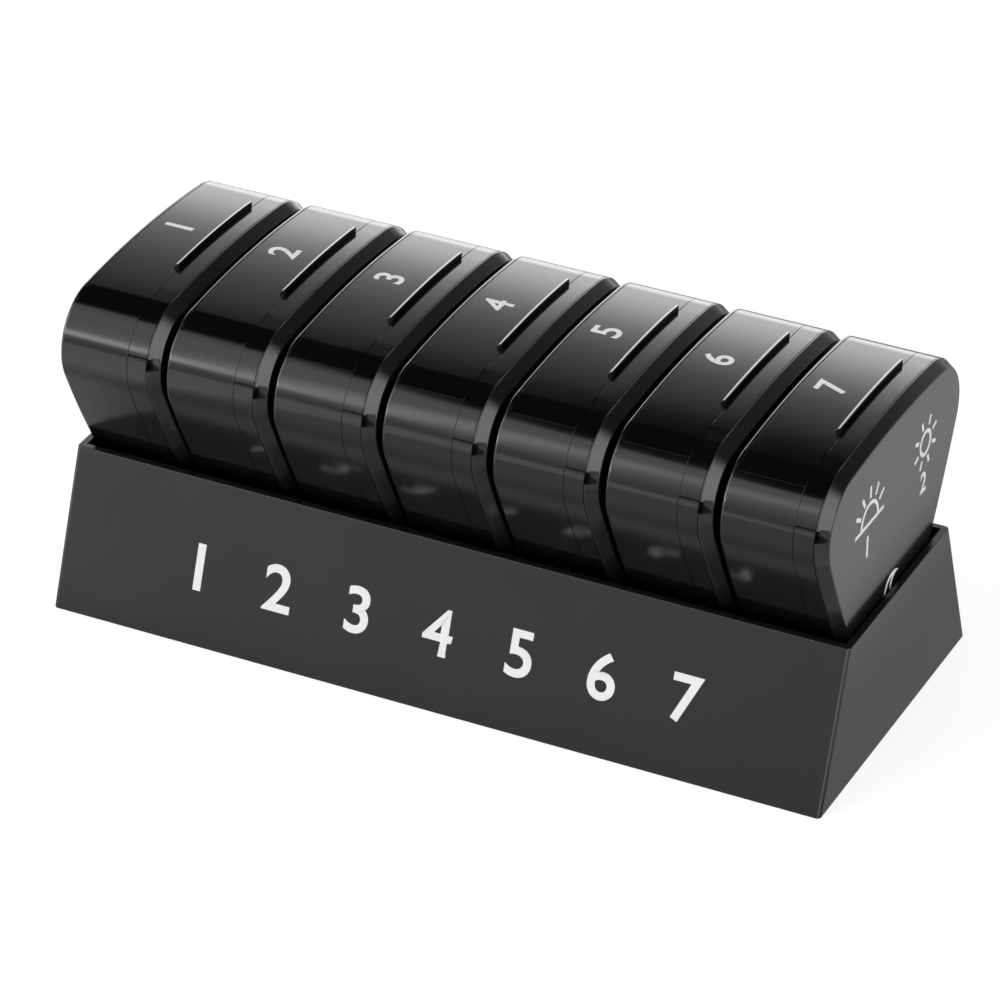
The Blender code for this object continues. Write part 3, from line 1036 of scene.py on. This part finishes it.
# Lines of the print's width: a ring, an arch over its centre, a level bar
def ring(centre, radius):
    return drawn([arcRun(centre, radius + side, 0.0, math.tau, printShape["ringSteps"])[:-1]
                  for side in (halfLine, -halfLine)])


def arch(centre, radius):
    outer = arcRun(centre, radius + halfLine, 0.0, math.pi, printShape["archSteps"])
    return drawn([outer + arcRun(centre, radius - halfLine, math.pi, 0.0, printShape["archSteps"])])


def bar(centre, halfLength):
    right, top = Vector((halfLength, 0.0)), Vector((0.0, halfLine))
    return drawn([[centre - right - top, centre + right - top, centre + right + top, centre - right + top]])


# A crescent between a large arc and the arc that bites into it, grown or shrunk by an amount
def crescent(centre, grow):
    bite = centre + Vector((capPicture["moonBite"], capPicture["moonBite"] / 3.0))
    outer = capPicture["moonRadius"] + grow
    inner = capPicture["moonBiteRadius"] - grow
    tips = [crossing(centre, outer, bite, inner, side) for side in (1.0, -1.0)]
    first, last = direction(tips[0] - centre), direction(tips[1] - centre)
    backFirst, backLast = direction(tips[1] - bite), direction(tips[0] - bite)
    last += math.tau if last < first else 0.0
    backLast -= math.tau if backLast > backFirst else 0.0
    bitten = arcRun(bite, inner, backFirst, backLast, printShape["archSteps"])
    return arcRun(centre, outer, first, last, printShape["moonSteps"]) + bitten[1:-1]


def moon(centre):
    return drawn([crescent(centre, halfLine), crescent(centre, -halfLine)])


# Geometry Nodes: rays of one length, set round a centre at even steps
def rayTree():
    net, size = shapeNet("rays", {
        "Int": ("Count",), "Float": ("Start", "Step", "Reach", "Length", "Width", "Thickness"),
        "Vector": ("Centre",), "Material": ("Material",)})
    angle = size["Start"] + size["Step"] * net.add("GeometryNodeInputIndex")
    reach = size["Reach"] + size["Length"] / 2.0
    places = net.vector(net.cosine(angle) * reach, net.sine(angle) * reach, 0.0)
    points = net.add("GeometryNodePoints", {}, {"Count": size["Count"], "Position": places})
    extent = net.vector(size["Length"], size["Width"], size["Thickness"])
    ray = net.add("GeometryNodeMeshCube", {}, {"Size": extent})
    turn = net.add("FunctionNodeEulerToRotation", {}, {"Euler": net.vector(0.0, 0.0, angle)})
    rays = net.add("GeometryNodeInstanceOnPoints", {}, {"Points": points, "Instance": ray, "Rotation": turn})
    rays = net.add("GeometryNodeTransform", {}, {"Geometry": rays, "Translation": size["Centre"]})
    net.close(rays, size["Material"])
    return net.tree


def rays(tree, centre, radius, length, count, start, step):
    piece = grown("rays", tree, {
        "Count": count, "Start": start, "Step": step, "Length": length, "Width": printShape["line"],
        "Reach": radius + halfLine + capPicture["rayGap"],
        "Thickness": 2.0 * printShape["ink"], "Centre": (centre.x, centre.y, 0.0), "Material": ink})
    mesh = piece.data
    remove(piece)
    return mesh


def moved(mesh, centre):
    mesh.transform(Matrix.Translation((centre.x, centre.y, 0.0)))
    return mesh


# Several flat prints made one mesh
def gathered(meshes):
    work = bmesh.new()
    for mesh in meshes:
        work.from_mesh(mesh)
    whole = bpy.data.meshes.new("print")
    work.to_mesh(whole)
    work.free()
    return whole


def finishPrint(mesh, name, body, material):
    editMesh(mesh, closeMesh)
    mesh.materials.clear()
    mesh.materials.append(material)
    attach(newPiece(name, mesh), body)


# Lays a flat print out from a place along two directions
def laid(mesh, place, across, up):
    out = across.cross(up)
    for vertex in mesh.vertices:
        u, v, w = vertex.co
        vertex.co = place + across * u + up * v + out * w
    return mesh


def lidPrint(day):
    mesh = glyph(str(day), lidNumber["height"])
    strips(mesh)
    place = boxPlace(day)
    for vertex in mesh.vertices:
        angle = quarter - (lidNumber["along"] + vertex.co.x) / sideRadius
        point = sectionPoint(angle, -vertex.co.z)
        vertex.co = place + Vector((lidNumber["fromLeft"] - vertex.co.y, point.x, point.y))
    finishPrint(mesh, f"day{day}Number", f"day_{day}_lid", shadedLidInk)


# Morning, noon and night on each box's right face: a sun on the horizon, a whole sun and a moon, numbered
def capPrint(day, tree):
    sunrise, sun, night = (Vector(capPicture[key]) for key in ("sunriseAt", "sunAt", "moonAt"))
    low = sunrise - Vector((0.0, halfLine))
    parts = [arch(sunrise, capPicture["sunriseRadius"]), bar(low, capPicture["horizonHalf"]),
             rays(tree, sunrise, capPicture["sunriseRadius"], capPicture["sunriseRay"], 5, math.pi / 6.0,
                  math.pi / 6.0),
             ring(sun, capPicture["sunRadius"]),
             rays(tree, sun, capPicture["sunRadius"], capPicture["sunRay"], 8, math.tau / 16.0,
                  math.tau / 8.0),
             moon(night)]
    for number, key in enumerate(("sunriseNumberAt", "sunNumberAt", "moonNumberAt"), 1):
        parts.append(moved(glyph(str(number), capPicture["number"]), Vector(capPicture[key])))
    place = boxPlace(day) + Vector((boxWidth, 0.0, 0.0))
    mesh = laid(gathered(parts), place, Vector((0.0, 1.0, 0.0)), Vector((0.0, 0.0, 1.0)))
    finishPrint(mesh, f"day{day}Pictures", f"day_{day}_box", ink)


def trayPrint():
    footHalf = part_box("tray_shell")[1].y
    slope = (trayShape["flare"] - trayShape["rimOut"]) / trayShape["height"]
    up = Vector((0.0, slope, 1.0)).normalized()
    level = trayNumber["level"]
    figures = []
    for day in range(1, days + 1):
        along = (day - (days + 1) / 2.0) * trayNumber["pitch"]
        figures.append(moved(glyph(str(day), trayNumber["height"]), Vector((along, 0.0))))
    place = Vector((0.0, -footHalf + slope * level, level))
    mesh = laid(gathered(figures), place, Vector((1.0, 0.0, 0.0)), up)
    finishPrint(mesh, "trayNumbers", "tray", litTrayInk)


raySource = rayTree()
for day in range(1, days + 1):
    lidPrint(day)
    capPrint(day, raySource)
trayPrint()
print("print made")

# Studio: a pale floor that shows a painted glow in gloss, and a world whose brightness in gloss turns from
# the front over the top to the back
studio = {
    "floorColour": (0.86, 0.86, 0.86, 1.0),
    "floorShade": (0.82, 0.82, 0.82, 1.0),
    "floorCloudScale": 6.0,
    "floorCloud": 0.2,
    "floorRoughness": 0.8,
    "floorHalf": 6.0,
    "floorDepth": 0.02,
    "floorGap": 0.1 * mm,              # how far the floor lies under the tray's foot
    "floorWhite": 0.70,                # share of plain white that the camera sees in the floor
    "white": 1.16,
    "floorFront": (-0.06, 0.38, -0.14, 0.80),      # the floor's painted glow in gloss, place and brightness: in front, dimmer near the tray as painted shade,
    "floorLeft": (-0.10, 1.0, -0.13, 1.9),         # times this towards the left, as painted light,
    "floorSide": (0.119, 0.44, 0.124, 0.80),       # beside its right end, dimmer near the tray as painted shadow,
    "floorBack": (0.25, 0.0, 0.45, 2.4),           # and far behind it, as painted light,
    "floorBackRight": (-0.17, 1.0, -0.07, 0.15),   # less so towards the right
    "right": 3.2,                      # soft boxes low at the right front and at the left
    "left": 2.2,
    "rightDim": 0.84,                  # how much darker the rest is towards the right
    "fill": 0.35,
    "peak": 4.0,
    "turn": [(0.0, 0.17), (0.10, 0.23), (0.19, 0.38), (0.222, 0.62), (0.25, 0.62), (0.285, 0.40),
             (0.35, 0.33), (0.362, 0.002), (0.745, 0.002), (0.766, 0.003), (0.774, 0.012), (0.785, 0.078),
             (0.795, 0.118), (0.81, 0.148), (0.84, 0.36), (0.88, 0.90), (0.92, 1.0), (1.0, 1.0)],
    "leftStreak": 0.8,                 # at the left the front's streak is this much brighter and lower,
    "leftDrop": 0.13,
    "leftRise": 0.07,                  # and the front's top this much higher
    "leftSooner": 0.027,               # towards the left the back's light starts this much sooner
}
slopes = {                             # where each change begins and where it is complete
    "leftmost": (-0.33, -0.45),        # by how far to the right a reflection points
    "leftBack": (-0.30, -0.45),
    "leftBox": (-0.50, -0.68),
    "rightBox": (-0.05, 0.35),
    "rightDim": (-0.22, 0.10),
    "drop": ((0.0, 0.10), (0.34, 0.12)),           # by its height: up one slope and down the other
    "rise": ((0.28, 0.36), (0.60, 0.50)),
    "back": ((0.70, 0.74), (0.85, 0.76)),
    "streak": ((0.19, 0.222), (0.28, 0.25)),
    "boxes": (0.60, 0.42),
}
plainWhite = (1.0, 1.0, 1.0, 1.0)


# Whether a ray comes from the camera or through glass, and whether from gloss
def rayKinds(net):
    path = net.add("ShaderNodeLightPath")
    clear = net.maths("MAXIMUM", path.output("Is Camera Ray"), path.output("Is Transmission Ray"))
    return clear, path.output("Is Glossy Ray")


def makeWorld():
    world = bpy.data.worlds.new("studio")
    world.use_nodes = True
    world.node_tree.nodes.clear()
    bpy.context.scene.world = world
    net = Net(world.node_tree)
    x, y, z = net.parts(net.add("ShaderNodeTexCoord", {}, {}, output="Generated"))
    height = net.maths("ARCTAN2", z, 0.0 - y) / math.pi       # 0 at the front horizon, 1 at the back one
    leftmost = net.ease(x, *slopes["leftmost"])
    drop = leftmost * net.hill(height, *slopes["drop"]) * studio["leftDrop"]
    rise = leftmost * net.hill(height, *slopes["rise"]) * studio["leftRise"]
    sooner = net.ease(x, *slopes["leftBack"]) * net.hill(height, *slopes["back"]) * studio["leftSooner"]
    place = height + drop - rise + sooner
    streak = leftmost * net.hill(place, *slopes["streak"]) * studio["leftStreak"]
    turn = net.add("ShaderNodeValToRGB", {"stops": studio["turn"]}, {0: place}) + streak
    dim = 1.0 - net.ease(x, *slopes["rightDim"]) * studio["rightDim"]
    right = net.ease(x, *slopes["rightBox"]) * studio["right"]
    left = net.ease(x, *slopes["leftBox"]) * studio["left"]
    boxes = turn * studio["peak"] * dim + net.ease(height, *slopes["boxes"]) * (right + left)
    clear, glossy = rayKinds(net)
    strength = net.choose(clear, 1.0, net.choose(glossy, boxes, studio["fill"]))
    shader = net.add("ShaderNodeBackground", {}, {"Color": plainWhite, "Strength": strength})
    net.add("ShaderNodeOutputWorld", {}, {"Surface": shader})


def makeFloor():
    material, net = newMaterial("pale floor")
    place = objectPlace(net)
    x, y, _ = net.parts(place)
    cloud = net.noise(place, studio["floorCloudScale"], 3.0) * studio["floorCloud"]
    colour = net.colours(cloud, studio["floorColour"], studio["floorShade"])
    matte = net.add("ShaderNodeBsdfPrincipled", {},
                    {"Base Color": colour, "Roughness": studio["floorRoughness"]})
    white = net.add("ShaderNodeEmission", {}, {"Color": plainWhite, "Strength": studio["white"]})

    def along(value, change):
        start, low, end, high = change
        return net.ease(value, start, end, low, high)
    # The floor's painted reflection glow, seen only in gloss: painted shade near the tray's front and right
    # end, painted light to the left and far behind
    before = along(y, studio["floorFront"]) * along(x, studio["floorLeft"])
    paintedGlow = net.choose(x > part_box("tray_shell")[1].x, along(x, studio["floorSide"]), before)
    paintedGlow = net.maths("MAXIMUM", paintedGlow, along(y, studio["floorBack"]) * along(x, studio["floorBackRight"]))
    paintedReflection = net.add("ShaderNodeEmission", {}, {"Color": plainWhite, "Strength": paintedGlow})
    clear, glossy = rayKinds(net)
    seen = net.add("ShaderNodeMixShader", {}, {0: clear * studio["floorWhite"], 1: matte, 2: white})
    shader = net.add("ShaderNodeMixShader", {}, {0: glossy, 1: seen, 2: paintedReflection})
    net.add("ShaderNodeOutputMaterial", {}, {"Surface": shader})
    half = studio["floorHalf"]
    floor = block("floor", (-half, -half, -studio["floorDepth"]), (half, half, -studio["floorGap"]))
    floor.data.materials.append(material)


softLights = {                         # place, size and power
    "key": ((-0.7, -0.9, 1.5), 1.2, 15.0),
    "side": ((1.5, -0.5, 0.9), 1.0, 11.0),
    "top": ((0.1, 0.9, 1.6), 1.2, 5.0),
}
lightAim = Vector((0.0, 0.0, 0.03))


def softLight(name, place, size, power):
    light = bpy.data.lights.new(name, "AREA")
    light.shape = "DISK"
    light.size = size
    light.energy = power
    lamp = bpy.data.objects.new(name, light)
    lamp.location = place
    lamp.rotation_euler = (lightAim - Vector(place)).to_track_quat("-Z", "Y").to_euler()
    lamp.visible_glossy = False
    bpy.context.scene.collection.objects.link(lamp)


makeWorld()
makeFloor()
for name, values in softLights.items():
    softLight(name, *values)
print("studio made")

view = {
    "azimuth": 25.95,
    "elevation": 31.37,
    "roll": 0.38,
    "distance": 1.2684,
    "target": (0.0, 0.0, 0.033),
    "lens": 198.0,
    "sensor": 36.0,
    "shift": (-0.0083, 0.00036),
    "far": 30.0,
}


def makeCamera():
    az, el, roll = (math.radians(view[key]) for key in ("azimuth", "elevation", "roll"))
    back = Vector((math.sin(az) * math.cos(el), -math.cos(az) * math.cos(el), math.sin(el)))
    right = Vector((math.cos(az), math.sin(az), 0.0))
    up = back.cross(right)
    rolledRight = right * math.cos(roll) + up * math.sin(roll)
    rolledUp = up * math.cos(roll) - right * math.sin(roll)
    data = bpy.data.cameras.new("camera")
    data.lens = view["lens"]
    data.sensor_width = view["sensor"]
    data.shift_x, data.shift_y = view["shift"]
    data.clip_end = view["far"]
    camera = bpy.data.objects.new("camera", data)
    turn = Matrix((rolledRight, rolledUp, back)).transposed().to_4x4()
    camera.matrix_world = Matrix.Translation(Vector(view["target"]) + back * view["distance"]) @ turn
    bpy.context.scene.collection.objects.link(camera)
    bpy.context.scene.camera = camera


makeCamera()
bpy.context.scene.view_settings.view_transform = "Standard"
